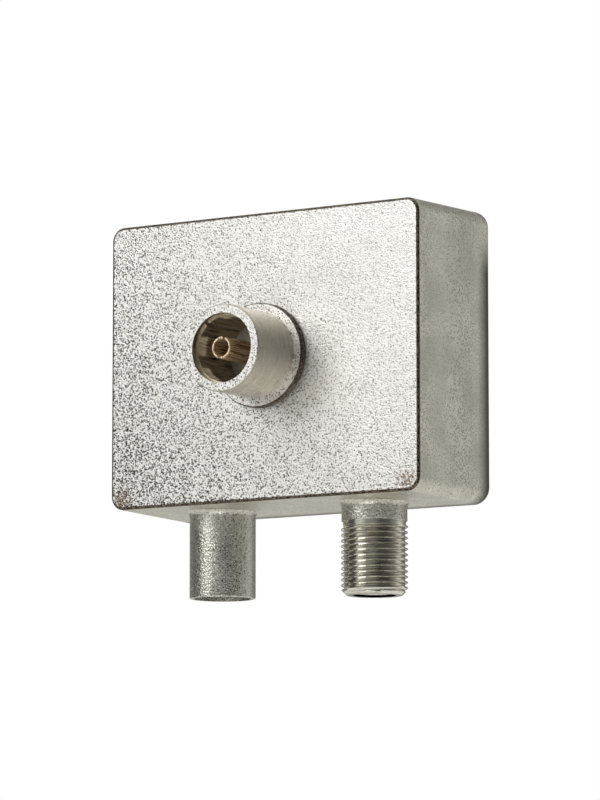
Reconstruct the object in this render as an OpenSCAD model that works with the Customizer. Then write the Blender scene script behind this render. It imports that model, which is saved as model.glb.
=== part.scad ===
// Coaxial splitter in a die-cast box: an aerial socket on the front face, and under the box
// a male aerial port at the left and a threaded port at the right.
// The origin is on the socket's axis, in the plane of the front face.
// +X points to the right and +Z up as one looks at the front, and +Y goes back into the box.

/* [Box] */
// Width of the casting
body_width = 52.5; // [48:0.5:60]
// Height of the casting, ports left out
body_height = 41.5; // [38:0.5:50]
// Depth of the casting, barrel left out
body_depth = 19.4; // [18:0.2:24]
// How far each side leans out from the front face to the open back
side_draft = 0.45; // [0:0.05:0.6]
// Radius of the four corners as seen from the front
corner_radius = 2; // [2:0.1:3.5]
// Radius of the edges round the front face
front_edge_radius = 0.45; // [0.2:0.05:0.8]
// Radius of the edges round the open back
rear_edge_radius = 1.2; // [0.6:0.1:1.8]
// Thickness of the front wall
front_wall = 2; // [1.6:0.1:2.6]
// Thickness of the four side walls
side_wall = 2.3; // [2.1:0.1:3]
// Radius in the inner corners of the casting
cavity_corner_radius = 1; // [0.7:0.1:1.5]
// Width of the square columns in the inner corners
column_width = 3.4; // [3:0.1:4]

/* [Rear cover] */
// Thickness of the pressed cover
cover_thickness = 0.6; // [0.4:0.1:0.8]
// Depth of the skirt round the cover
cover_skirt = 1.8; // [1.2:0.1:2.4]
// How far the cover lies inside the casting's rim
cover_recess = 0.5; // [0.2:0.1:1]

/* [Input socket] */
// Length of the barrel from the front face
barrel_length = 10.35; // [9.8:0.05:12]
// Outer diameter of the barrel
barrel_diameter = 12.5; // [12:0.1:13.5]
// Diameter of the collar at the foot of the barrel
collar_diameter = 15; // [14.5:0.1:17]
// Height of the collar
collar_height = 1.25; // [0.8:0.05:2]
// Distance from the barrel's rim to the insulator
socket_depth = 9.5; // [9:0.1:9.8]
// Inner diameter of the spring sleeve
spring_bore = 9.5; // [9.4:0.05:9.7]
// Thickness of the spring sleeve's sheet
spring_thickness = 0.25; // [0.2:0.05:0.35]
// Distance from the barrel's rim to the spring sleeve
spring_inset = 1.2; // [0.6:0.1:1.6]
// Width of the seam where the rolled sheet meets
spring_seam = 0.5; // [0.3:0.1:0.8]
// Number of spring tongues
tongue_count = 6; // [4:1:6]
// Angle from one tongue to the next
tongue_pitch = 56; // [50:1:58]
// Width of each tongue
tongue_width = 2.7; // [2:0.1:3.2]
// Length of each tongue
tongue_length = 4.4; // [3:0.1:5]
// Distance from the sleeve's mouth to the tongues
tongue_start = 1.8; // [1.2:0.1:2.2]
// Width of the cut round each tongue
tongue_cut = 0.35; // [0.2:0.05:0.5]
// How far the free end of each tongue is bent inwards
tongue_bend = 0.35; // [0.1:0.05:0.5]
// Outer diameter of the centre contact
contact_diameter = 3.2; // [3:0.1:3.6]
// Bore of the centre contact
contact_bore = 2.44; // [2.4:0.02:2.5]
// Depth of the bore from the contact's tip
contact_bore_depth = 11.6; // [11:0.1:12.4]
// How far the contact stands out of the barrel's rim
contact_proud = 0.1; // [0:0.05:0.4]
// Width of the contact's two slits
contact_slit = 0.35; // [0.2:0.05:0.5]
// Length of the contact's slits
contact_slit_length = 6; // [4:0.5:8]

/* [Output ports] */
// Distance from each side of the casting to the port next to it
port_inset = 13.25; // [12:0.25:14]
// Depth of the port axes behind the front face
port_axis_depth = 9.5; // [9:0.1:10.2]
// Radius where each port blends into the casting
port_root_radius = 1; // [0.5:0.1:1.4]
// Length of the male sleeve
tv_sleeve_length = 12.8; // [11:0.1:15]
// Outer diameter of the male sleeve
tv_sleeve_diameter = 9.6; // [9.4:0.05:9.8]
// Wall of the male sleeve
tv_sleeve_wall = 0.65; // [0.5:0.05:0.9]
// Distance from the male sleeve's rim to its insulator
tv_socket_depth = 9; // [8:0.1:10]
// Diameter of the male centre pin
tv_pin_diameter = 2.4; // [2.3:0.05:2.5]
// How far the centre pin stays behind the sleeve's rim
tv_pin_recess = 0.9; // [0.4:0.1:2]
// How much thinner the pin's radius is inside its insulator
tv_pin_step = 0.2; // [0.1:0.05:0.3]
// Major diameter of the threaded barrel
thread_diameter = 9.525; // [9.4:0.025:9.6]
// Length of the threaded stretch
thread_length = 9.1; // [7:0.1:11]
// Length of the chamfer at the end of the thread
thread_chamfer = 0.8; // [0.5:0.1:1.2]
// Length of the plain neck above the thread
neck_length = 2.9; // [2.4:0.1:4.4]
// Diameter of the plain neck
neck_diameter = 9.4; // [9:0.05:9.4]
// Length of the groove between the neck and the thread
relief_length = 0.7; // [0.6:0.05:1]
// Diameter at the bottom of that groove
relief_diameter = 9; // [8.6:0.1:9]
// Bore of the threaded barrel
data_bore = 6.2; // [6:0.1:6.8]
// How far the insulator stays behind the barrel's end
data_insulator_recess = 0.3; // [0.1:0.1:1]
// Bore of the data contact
data_contact_bore = 1.1; // [1:0.05:1.2]
// Outer diameter of the data contact
data_contact_diameter = 2.4; // [2.1:0.1:2.6]
// Depth of the data contact behind the barrel's end
data_contact_recess = 3.2; // [2.5:0.1:5]

/* [Insulators and tails] */
// Thickness of the insulators' flanges inside the casting
insulator_flange = 1; // [0.8:0.1:1.4]
// How far the flanges reach past their bores
flange_overhang = 1; // [0.6:0.1:1.2]
// Height of the shoulders on the centre contacts
shoulder_height = 0.6; // [0.4:0.1:0.8]
// How far the shoulders reach past the contacts
shoulder_overhang = 0.6; // [0.4:0.1:0.8]
// Diameter of the solder tails
tail_diameter = 1; // [0.8:0.1:1.2]
// Length of the port tails along the board
tail_overlap = 3; // [2.5:0.1:4]

/* [Circuit] */
// Thickness of the circuit board
board_thickness = 1.6; // [1.2:0.2:1.6]
// Gap between the board's sides and the casting
board_side_gap = 1.2; // [0.6:0.1:2]
// Diameter of the posts that carry the board
post_diameter = 4; // [3.4:0.1:5]
// Diameter of the pegs on the posts
peg_diameter = 2; // [1.6:0.1:2.4]
// Distance from the board's edges to the posts' axes
post_inset = 4.4; // [4:0.1:5]
// Outer diameter of the matching core
toroid_diameter = 6.5; // [5.5:0.1:7]
// Hole of the matching core
toroid_bore = 3.3; // [3:0.1:3.6]
// Height of the matching core
toroid_height = 3; // [2:0.1:3.5]
// Turns on the matching core
toroid_turns = 7; // [4:1:9]
// Width of the splitter core
splitter_width = 7; // [6.5:0.1:7.5]
// Height of the splitter core above the board
splitter_height = 4.2; // [4:0.1:4.8]
// Length of the splitter core along its holes
splitter_length = 5; // [4:0.1:6]
// Diameter of the splitter core's two holes
splitter_hole = 1.7; // [1.5:0.1:1.9]
// Distance between the two holes
splitter_hole_spacing = 2.9; // [2.7:0.1:3.1]
// Turns through the splitter core
splitter_turns = 3; // [2:1:3]
// Thickness of the winding wire
wire_thickness = 0.25; // [0.2:0.05:0.3]
// Diameter of the disc capacitors
disc_diameter = 4.5; // [3.5:0.1:4.8]
// Thickness of the disc capacitors
disc_thickness = 1.8; // [1.2:0.1:2.4]
// Distance between a capacitor's leads
disc_lead_spacing = 2.5; // [2:0.1:3]
// Length of the resistor's body
resistor_length = 5.6; // [4.5:0.1:6.4]
// Diameter of the resistor's ends
resistor_diameter = 2.1; // [1.6:0.1:2.5]
// Distance between the resistor's leads
resistor_lead_spacing = 8; // [7.5:0.1:9]
// Diameter of the component leads
lead_diameter = 0.5; // [0.4:0.1:0.6]

/* [Hidden] */
$fn = 48;
past = 1;
press_gap = 0.02;
cover_gap = 0.05;
hole_gap = 0.1;
edge_gap = 0.4;
solder_gap = 0.01;
rim_chamfer = 0.15;
tip_chamfer = 0.12;
seam_angle = 130;
slit_angle = 72;
fold_step = 0.06;
fold_length = 0.3;
tail_stand = 0.9;
lead_stand = 0.8;
// How far a rounding arc crosses the faces that it blends
fillet_sink = 0.06;
edge_sink = 0.002;

socket_bore = spring_bore + 2 * spring_thickness;
cavity_width = body_width - 2 * side_wall;
cavity_height = body_height - 2 * side_wall;
cover_rear = body_depth - cover_recess;
column_top = cover_rear - cover_skirt;
board_front = port_axis_depth + tail_diameter / 2 + press_gap;
board_rear = board_front + board_thickness;
board_width = cavity_width - 2 * board_side_gap;
board_height = cavity_height - 2 * (insulator_flange + shoulder_height + edge_gap);
post_x = board_width / 2 - post_inset;
post_z = board_height / 2 - post_inset;
port_x = body_width / 2 - port_inset;
root_reach = tv_sleeve_diameter / 2 + port_root_radius;
underside_fall = side_draft * (port_axis_depth - root_reach) / body_depth;
tail_top = side_wall + cavity_height / 2 - board_height / 2 + tail_overlap;
thread_from = neck_length + relief_length;
data_length = thread_from + thread_length + thread_chamfer;
tip_y = barrel_length + contact_proud;

// Places of the components on the back of the board, as seen from the front
matching_at = [-9.5, 6.5];
splitter_at = [0, -7.5];
resistor_at = [0, -13.2];
input_capacitor_at = [0, 5.5];
tv_capacitor_at = [-9.5, -8];
data_capacitor_at = [9.5, -8];
compensation_capacitor_at = [9.5, 6.5];
capacitors_at = [
    input_capacitor_at, tv_capacitor_at, data_capacitor_at, compensation_capacitor_at
];

// Frames: local +Z points out of the feature's face

module out_of_front() {
    rotate([90, 0, 0]) children();
}

module into_box(depth) {
    translate([0, depth, 0]) rotate([-90, 0, 0]) children();
}

module out_of_underside(x) {
    translate([x, port_axis_depth, -body_height / 2]) rotate([180, 0, 0]) children();
}

module on_board(place) {
    translate([place[0], board_rear, place[1]]) rotate([-90, 0, 0]) children();
}

module at_posts() {
    for (x = [-post_x, post_x], z = [-post_z, post_z])
        translate([x, 0, z]) children();
}

// Shapes that repeat

module corner_waste(radius) {
    difference() {
        square(2 * radius);
        circle(radius);
    }
}

module rounded_rectangle(width, height, radius) {
    difference() {
        square([width, height], center = true);
        for (q = [0, 1], p = [0, 1])
            mirror([q, 0]) mirror([0, p])
                translate([width / 2 - radius, height / 2 - radius]) corner_waste(radius);
    }
}

// What comes off an edge to round it, where the side leans out as it goes back
module edge_waste(reach, level, radius, lean, away) {
    far = radius + past;
    centre = [reach + (level * sin(lean) - radius) / cos(lean) + edge_sink, level + away * edge_sink];
    difference() {
        polygon([
            centre,
            centre + far * [cos(lean), -sin(lean)],
            centre + far * [1, away],
            centre + far * [0, away]
        ]);
        translate(centre) circle(radius);
    }
}

module edge_profile(reach, depth, front_radius, rear_radius, draft) {
    lean = atan(draft / depth);
    difference() {
        polygon([[0, 0], [reach, 0], [reach + draft, depth], [0, depth]]);
        if (front_radius > 0) edge_waste(reach, front_radius, front_radius, lean, -1);
        edge_waste(reach, depth - rear_radius, rear_radius, lean, 1);
    }
}

// A box with its front face at y = 0, where one profile runs along each side and round each corner
module rounded_box(width, height, depth, radius, front_radius, rear_radius, draft) {
    x = width / 2 - radius;
    z = height / 2 - radius;
    translate([-x, 0, -z]) cube([2 * x, depth, 2 * z]);
    for (i = [0, 1]) {
        mirror([i, 0, 0]) translate([x, 0, -z]) linear_extrude(2 * z)
            edge_profile(radius, depth, front_radius, rear_radius, draft);
        mirror([0, 0, i]) translate([-x, 0, -z]) rotate([0, 90, 0]) linear_extrude(2 * x)
            edge_profile(radius, depth, front_radius, rear_radius, draft);
        for (j = [0, 1])
            mirror([i, 0, 0]) mirror([0, 0, j]) translate([x, 0, z])
                rotate([-90, -90, 0]) rotate_extrude(angle = 90)
                    edge_profile(radius, depth, front_radius, rear_radius, draft);
    }
}

module tube(outer, inner, length) {
    difference() {
        cylinder(d = outer, h = length);
        translate([0, 0, -past]) cylinder(d = inner, h = length + 2 * past);
    }
}

// A turned piece from its half section, points as [radius, height]
module turned(points) {
    rotate_extrude() polygon(points);
}

// The part of a port that stands on the casting, with its root blended into the wall
module port_root(diameter, length) {
    r = diameter / 2;
    level = port_root_radius - fillet_sink;
    translate([0, 0, underside_fall]) rotate_extrude() difference() {
        translate([0, -past]) square([r + port_root_radius, length + past]);
        translate([r + port_root_radius, level]) circle(port_root_radius);
        translate([r, level]) square([port_root_radius + past, length]);
    }
}

// Housing

module cavity() {
    difference() {
        into_box(front_wall)
            linear_extrude(body_depth) rounded_rectangle(cavity_width, cavity_height, cavity_corner_radius);
        for (x = [0, 1], z = [0, 1])
            mirror([x, 0, 0]) mirror([0, 0, z])
                translate([cavity_width / 2 - column_width, 0, cavity_height / 2 - column_width])
                    cube([column_width + past, column_top, column_width + past]);
        at_posts() into_box(0) {
            cylinder(d = post_diameter, h = board_front);
            cylinder(d = peg_diameter, h = board_rear + tail_stand);
        }
    }
}

module barrel() {
    out_of_front() turned([
        [0, -past],
        [collar_diameter / 2, -past],
        [collar_diameter / 2, collar_height - rim_chamfer],
        [collar_diameter / 2 - rim_chamfer, collar_height],
        [barrel_diameter / 2, collar_height],
        [barrel_diameter / 2, barrel_length - rim_chamfer],
        [barrel_diameter / 2 - rim_chamfer, barrel_length],
        [0, barrel_length]
    ]);
}

module tv_sleeve() {
    r = tv_sleeve_diameter / 2;
    out_of_underside(-port_x) {
        port_root(tv_sleeve_diameter, port_root_radius + past);
        turned([
            [0, -past],
            [r, -past],
            [r, tv_sleeve_length - rim_chamfer],
            [r - rim_chamfer, tv_sleeve_length],
            [0, tv_sleeve_length]
        ]);
    }
}

module data_barrel() {
    out_of_underside(port_x) {
        port_root(neck_diameter, port_root_radius + past);
        turned([
            [0, -past],
            [neck_diameter / 2, -past],
            [neck_diameter / 2, neck_length],
            [relief_diameter / 2, neck_length],
            [relief_diameter / 2, thread_from],
            [thread_diameter / 2, thread_from],
            [thread_diameter / 2, thread_from + thread_length],
            [thread_diameter / 2 - thread_chamfer, data_length],
            [0, data_length]
        ]);
    }
}

module housing() {
    color([0.74, 0.73, 0.7]) difference() {
        union() {
            rounded_box(
                body_width, body_height, body_depth,
                corner_radius, front_edge_radius, rear_edge_radius, side_draft
            );
            barrel();
            tv_sleeve();
            data_barrel();
        }
        cavity();
        out_of_front() translate([0, 0, -front_wall - past])
            cylinder(d = socket_bore, h = front_wall + barrel_length + 2 * past);
        out_of_underside(-port_x) translate([0, 0, -side_wall - past])
            cylinder(d = tv_sleeve_diameter - 2 * tv_sleeve_wall, h = side_wall + tv_sleeve_length + 2 * past);
        out_of_underside(port_x) translate([0, 0, -side_wall - past])
            cylinder(d = data_bore, h = side_wall + data_length + 2 * past);
    }
}

module rear_cover() {
    width = cavity_width - 2 * cover_gap;
    height = cavity_height - 2 * cover_gap;
    radius = cavity_corner_radius - cover_gap;
    color([0.78, 0.78, 0.76]) translate([0, column_top, 0]) difference() {
        rounded_box(width, height, cover_skirt, radius, 0, cover_thickness, 0);
        translate([
            cover_thickness - width / 2, -past, cover_thickness - height / 2
        ])
            cube([
                width - 2 * cover_thickness,
                cover_skirt - cover_thickness + past,
                height - 2 * cover_thickness
            ]);
    }
}

// Input socket

module spring_wall() {
    start = barrel_length - socket_depth;
    translate([0, 0, start])
        tube(socket_bore - 2 * press_gap, spring_bore, socket_depth - spring_inset);
}

module input_spring_sleeve() {
    hinge = barrel_length - spring_inset - tongue_start;
    inside = spring_bore / 2;
    outside = socket_bore / 2 - press_gap;
    first = seam_angle + (360 - (tongue_count - 1) * tongue_pitch) / 2;
    color([0.72, 0.6, 0.38]) out_of_front() {
        difference() {
            spring_wall();
            rotate([0, 0, seam_angle]) translate([0, -spring_seam / 2, 0])
                cube([socket_bore, spring_seam, barrel_length]);
            for (i = [0 : tongue_count - 1])
                rotate([0, 0, first + i * tongue_pitch])
                    translate([0, -tongue_width / 2 - tongue_cut, hinge - tongue_length - tongue_cut])
                        cube([socket_bore, tongue_width + 2 * tongue_cut, tongue_length + tongue_cut]);
        }
        for (i = [0 : tongue_count - 1])
            rotate([0, 0, first + i * tongue_pitch]) intersection() {
                turned([
                    [inside - fold_step, hinge + fold_length],
                    [outside - fold_step, hinge + fold_length],
                    [outside - tongue_bend, hinge - tongue_length],
                    [inside - tongue_bend, hinge - tongue_length]
                ]);
                translate([0, -tongue_width / 2, hinge - tongue_length - past])
                    cube([socket_bore, tongue_width, tongue_length + fold_length + 2 * past]);
            }
    }
}

module input_contact() {
    r = contact_diameter / 2;
    bore = contact_bore / 2;
    bottom = tip_y - contact_bore_depth;
    seat = -front_wall - insulator_flange;
    tail = tail_diameter / 2;
    color([0.85, 0.68, 0.35]) out_of_front() difference() {
        turned([
            [0, -board_rear - tail_stand],
            [tail, -board_rear - tail_stand],
            [tail, seat - shoulder_height],
            [r + shoulder_overhang, seat - shoulder_height],
            [r + shoulder_overhang, seat],
            [r, seat],
            [r, tip_y - tip_chamfer],
            [r - tip_chamfer, tip_y],
            [bore + tip_chamfer, tip_y],
            [bore, tip_y - tip_chamfer],
            [bore, bottom],
            [0, bottom - bore / 2]
        ]);
        rotate([0, 0, slit_angle])
            translate([-contact_diameter, -contact_slit / 2, tip_y - contact_slit_length])
                cube([2 * contact_diameter, contact_slit, contact_slit_length + past]);
    }
}

module input_insulator() {
    r = socket_bore / 2;
    hole = contact_diameter / 2 + press_gap;
    color([0.86, 0.86, 0.84]) out_of_front() turned([
        [hole, -front_wall - insulator_flange],
        [r + flange_overhang, -front_wall - insulator_flange],
        [r + flange_overhang, -front_wall],
        [r - press_gap, -front_wall],
        [r - press_gap, barrel_length - socket_depth],
        [hole, barrel_length - socket_depth]
    ]);
}

// Output ports

module tv_pin() {
    r = tv_pin_diameter / 2;
    neck = r - tv_pin_step;
    tip = tv_sleeve_length - tv_pin_recess;
    seat = -side_wall - insulator_flange;
    color([0.8, 0.76, 0.66]) out_of_underside(-port_x) turned([
        [0, -tail_top],
        [tail_diameter / 2, -tail_top],
        [tail_diameter / 2, seat - shoulder_height],
        [neck + shoulder_overhang, seat - shoulder_height],
        [neck + shoulder_overhang, seat],
        [neck, seat],
        [neck, tv_sleeve_length - tv_socket_depth],
        [r, tv_sleeve_length - tv_socket_depth],
        [r, tip - r],
        [r / 2, tip],
        [0, tip]
    ]);
}

module tv_insulator() {
    r = tv_sleeve_diameter / 2 - tv_sleeve_wall;
    hole = tv_pin_diameter / 2 - tv_pin_step + press_gap;
    color([0.9, 0.9, 0.88]) out_of_underside(-port_x) turned([
        [hole, -side_wall - insulator_flange],
        [r + flange_overhang, -side_wall - insulator_flange],
        [r + flange_overhang, -side_wall],
        [r - press_gap, -side_wall],
        [r - press_gap, tv_sleeve_length - tv_socket_depth],
        [hole, tv_sleeve_length - tv_socket_depth]
    ]);
}

module data_contact() {
    r = data_contact_diameter / 2;
    bore = data_contact_bore / 2;
    tip = data_length - data_contact_recess;
    depth = 8;
    seat = -side_wall - insulator_flange;
    color([0.8, 0.76, 0.66]) out_of_underside(port_x) difference() {
        turned([
            [0, -tail_top],
            [tail_diameter / 2, -tail_top],
            [tail_diameter / 2, seat - shoulder_height],
            [r + shoulder_overhang, seat - shoulder_height],
            [r + shoulder_overhang, seat],
            [r, seat],
            [r, tip],
            [bore + tip_chamfer, tip],
            [bore, tip - tip_chamfer],
            [bore, tip - depth],
            [0, tip - depth - bore / 2]
        ]);
        translate([-data_contact_diameter, -contact_slit / 2, tip - depth / 2])
            cube([2 * data_contact_diameter, contact_slit, depth]);
    }
}

module data_insulator() {
    r = data_bore / 2;
    hole = data_contact_diameter / 2 + press_gap;
    entry = data_contact_bore / 2 + 2 * hole_gap;
    face = data_length - data_insulator_recess;
    chamber = data_length - data_contact_recess + press_gap;
    color([0.92, 0.91, 0.86]) out_of_underside(port_x) turned([
        [hole, -side_wall - insulator_flange],
        [r + flange_overhang, -side_wall - insulator_flange],
        [r + flange_overhang, -side_wall],
        [r - press_gap, -side_wall],
        [r - press_gap, face],
        [2 * entry, face],
        [entry, face - entry],
        [entry, chamber],
        [hole, chamber]
    ]);
}

// Circuit

function lead_pair(place, spacing) = [
    [place[0] - spacing / 2, place[1]],
    [place[0] + spacing / 2, place[1]]
];

lead_places = concat(
    lead_pair(resistor_at, resistor_lead_spacing),
    [for (place = capacitors_at) each lead_pair(place, disc_lead_spacing)]
);

module circuit_board() {
    notch = column_width + edge_gap;
    color([0.25, 0.42, 0.25]) translate([0, board_front, 0]) difference() {
        translate([-board_width / 2, 0, -board_height / 2])
            cube([board_width, board_thickness, board_height]);
        for (x = [0, 1], z = [0, 1])
            mirror([x, 0, 0]) mirror([0, 0, z])
                translate([cavity_width / 2 - notch, -past, cavity_height / 2 - notch])
                    cube([notch, board_thickness + 2 * past, notch]);
        at_posts() into_box(-past)
            cylinder(d = peg_diameter + 2 * hole_gap, h = board_thickness + 2 * past);
        into_box(-past) cylinder(d = tail_diameter + 2 * hole_gap, h = board_thickness + 2 * past);
        for (place = lead_places)
            translate([place[0], 0, place[1]]) into_box(-past)
                cylinder(d = lead_diameter + 2 * hole_gap, h = board_thickness + 2 * past);
    }
}

module matching_core() {
    color([0.28, 0.28, 0.3]) on_board(matching_at)
        translate([0, 0, wire_thickness + press_gap])
            tube(toroid_diameter, toroid_bore, toroid_height);
}

// A closed turn of square wire round an opening of the given size, standing on local X and Z
module wire_turn(width, height) {
    translate([0, wire_thickness / 2, 0]) rotate([90, 0, 0]) linear_extrude(wire_thickness) difference() {
        square([width + 2 * wire_thickness, height + 2 * wire_thickness], center = true);
        square([width, height], center = true);
    }
}

module matching_winding() {
    section = (toroid_diameter - toroid_bore) / 2;
    middle = (toroid_diameter + toroid_bore) / 4;
    color([0.72, 0.38, 0.2]) on_board(matching_at)
        for (i = [0 : toroid_turns - 1])
            rotate([0, 0, i * 300 / toroid_turns])
                translate([middle, 0, wire_thickness + press_gap + toroid_height / 2])
                    wire_turn(section + 2 * press_gap, toroid_height + 2 * press_gap);
}

module splitter_core() {
    color([0.3, 0.3, 0.32]) on_board(splitter_at) difference() {
        translate([-splitter_width / 2, -splitter_length / 2, 0])
            cube([splitter_width, splitter_length, splitter_height]);
        for (x = [-1, 1])
            translate([x * splitter_hole_spacing / 2, 0, splitter_height / 2]) rotate([90, 0, 0])
                translate([0, 0, -splitter_length]) cylinder(d = splitter_hole, h = 2 * splitter_length);
    }
}

module splitter_winding() {
    step = wire_thickness + 0.1;
    color([0.75, 0.42, 0.22]) on_board(splitter_at)
        for (i = [0 : splitter_turns - 1])
            translate([0, 0, splitter_height / 2 + (i - (splitter_turns - 1) / 2) * step])
                rotate([90, 0, 0])
                    wire_turn(splitter_hole_spacing - wire_thickness, splitter_length + 2 * press_gap);
}

module isolation_resistor() {
    r = resistor_diameter / 2;
    waist = r - 0.15;
    half = resistor_length / 2;
    cap = resistor_length / 6;
    reach = resistor_lead_spacing / 2;
    color([0.72, 0.62, 0.45]) on_board(resistor_at) {
        translate([0, 0, r + press_gap]) rotate([0, 90, 0]) turned([
            [0, -half],
            [waist, -half],
            [r, -half + cap / 3],
            [r, -half + cap],
            [waist, -half + cap + 0.3],
            [waist, half - cap - 0.3],
            [r, half - cap],
            [r, half - cap / 3],
            [waist, half],
            [0, half]
        ]);
        for (side = [-1, 1])
            translate([side * reach, 0, r + press_gap]) {
                sphere(d = lead_diameter);
                rotate([0, -90 * side, 0]) cylinder(d = lead_diameter, h = reach - half + cap);
                translate([0, 0, -r - board_thickness - lead_stand])
                    cylinder(d = lead_diameter, h = r + board_thickness + lead_stand);
            }
    }
}

module disc_capacitor(place) {
    r = disc_diameter / 2;
    t = disc_thickness / 2;
    round_off = 0.4;
    on_board(place) {
        translate([0, 0, r + press_gap]) rotate([90, 0, 0]) turned([
            [0, -t],
            [r - round_off, -t],
            [r, -t + round_off],
            [r, t - round_off],
            [r - round_off, t],
            [0, t]
        ]);
        for (x = [-1, 1])
            translate([x * disc_lead_spacing / 2, 0, -board_thickness - lead_stand])
                cylinder(d = lead_diameter, h = board_thickness + lead_stand + r);
    }
}

module input_capacitor() {
    color([0.78, 0.55, 0.25]) disc_capacitor(input_capacitor_at);
}

module tv_capacitor() {
    color([0.78, 0.55, 0.25]) disc_capacitor(tv_capacitor_at);
}

module data_capacitor() {
    color([0.78, 0.55, 0.25]) disc_capacitor(data_capacitor_at);
}

module compensation_capacitor() {
    color([0.3, 0.45, 0.65]) disc_capacitor(compensation_capacitor_at);
}

// Solder round a tail that lies along the front of the board
module port_solder(x) {
    length = tail_overlap - 1;
    low = -board_height / 2 + 0.5;
    r = tail_diameter + 0.3;
    translate([x, 0, low]) difference() {
        translate([0, board_front, 0]) cylinder(r = r, h = length);
        translate([-2 * r, board_front, -past]) cube([4 * r, 2 * r, length + 2 * past]);
        translate([0, port_axis_depth, -past])
            cylinder(d = tail_diameter + 2 * solder_gap, h = length + 2 * past);
    }
}

module contact_solder() {
    color([0.8, 0.8, 0.82]) {
        for (x = [-port_x, port_x]) port_solder(x);
        into_box(board_rear) turned([
            [tail_diameter / 2 + solder_gap, 0],
            [tail_diameter / 2 + 0.9, 0],
            [tail_diameter / 2 + 0.2, tail_stand - 0.2],
            [tail_diameter / 2 + solder_gap, tail_stand - 0.2]
        ]);
    }
}

module ground_solder() {
    r = peg_diameter / 2;
    color([0.8, 0.8, 0.82]) at_posts() into_box(board_rear) turned([
        [r + solder_gap, 0],
        [r + 1, 0],
        [r + 0.2, tail_stand - 0.2],
        [r + solder_gap, tail_stand - 0.2]
    ]);
}

housing();
rear_cover();
input_spring_sleeve();
input_contact();
input_insulator();
tv_pin();
tv_insulator();
data_contact();
data_insulator();
circuit_board();
matching_core();
matching_winding();
splitter_core();
splitter_winding();
isolation_resistor();
input_capacitor();
tv_capacitor();
data_capacitor();
compensation_capacitor();
contact_solder();
ground_solder();
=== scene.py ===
"""Visual model of a coaxial splitter: finishes, the cut thread, the wound coils, studio and camera.

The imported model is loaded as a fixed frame. All sizes below are in millimetres and all meshes in
metres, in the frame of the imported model: the origin is on the socket's axis in the plane of the
front face, +X to the right, +Y into the box and +Z up.
"""

import logging
import math
from dataclasses import dataclass
from enum import Enum, IntEnum
from typing import Any

import bmesh
import bpy
from mathutils import Matrix, Vector

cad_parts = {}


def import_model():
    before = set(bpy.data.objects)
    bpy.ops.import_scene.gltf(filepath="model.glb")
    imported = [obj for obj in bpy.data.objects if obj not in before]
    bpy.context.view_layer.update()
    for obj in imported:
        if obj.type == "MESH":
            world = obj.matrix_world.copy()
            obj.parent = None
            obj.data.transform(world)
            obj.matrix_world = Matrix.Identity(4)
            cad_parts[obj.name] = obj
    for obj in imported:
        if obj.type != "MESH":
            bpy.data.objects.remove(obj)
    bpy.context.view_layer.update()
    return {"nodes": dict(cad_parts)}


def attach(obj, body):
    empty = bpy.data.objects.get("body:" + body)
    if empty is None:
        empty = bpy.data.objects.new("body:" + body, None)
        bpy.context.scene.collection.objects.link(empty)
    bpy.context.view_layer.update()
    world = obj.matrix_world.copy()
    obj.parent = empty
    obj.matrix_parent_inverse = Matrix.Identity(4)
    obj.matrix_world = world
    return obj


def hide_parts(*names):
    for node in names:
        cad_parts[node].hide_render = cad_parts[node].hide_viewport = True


frame: dict[str, Any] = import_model()

MM = 0.001
MERGE = 1e-6
LOG = logging.getLogger("splitter")
MATH = "ShaderNodeMath"
VECTOR_MATH = "ShaderNodeVectorMath"
MAP_RANGE = "ShaderNodeMapRange"

Colour = tuple[float, float, float, float]


def linear(code: str) -> Colour:
    """Turns an sRGB hex colour to the linear colour that the shaders take.

    Args:
        code: Six hex digits, such as "c0bdb6".

    Returns:
        Red, green, blue and alpha.
    """
    parts = [int(code[i : i + 2], 16) / 255 for i in (0, 2, 4)]
    red, green, blue = (
        c / 12.92 if c <= 0.04045 else ((c + 0.055) / 1.055) ** 2.4 for c in parts
    )
    return red, green, blue, 1.0


def add(
    tree: bpy.types.NodeTree, kind: str, inputs: dict[int | str, Any] | None = None, **settings: Any
) -> bpy.types.Node:
    """Adds a node with its settings and fills its inputs.

    Args:
        tree: The tree that gets the node.
        kind: Blender's name of the node's type.
        inputs: Input name or number to a socket, which is linked, or to a plain value.
        settings: Properties of the node.

    Returns:
        The new node.
    """
    node = tree.nodes.new(kind)
    for name, value in settings.items():
        setattr(node, name, value)
    for key, value in (inputs or {}).items():
        if isinstance(value, bpy.types.NodeSocket):
            tree.links.new(value, node.inputs[key])
        else:
            node.inputs[key].default_value = value
    return node


class Marks(Enum):
    """Which way the fine marks of a surface run, as the scale of a pattern on X, Y and Z."""

    GRAIN = (1.0, 1.0, 1.0)
    TURNED_ON_Y = (0.04, 1.0, 0.04)
    TURNED_ON_Z = (0.04, 0.04, 1.0)
    DRAWN_ON_Y = (1.0, 0.04, 1.0)
    DRAWN_ON_Z = (1.0, 1.0, 0.04)


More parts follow.
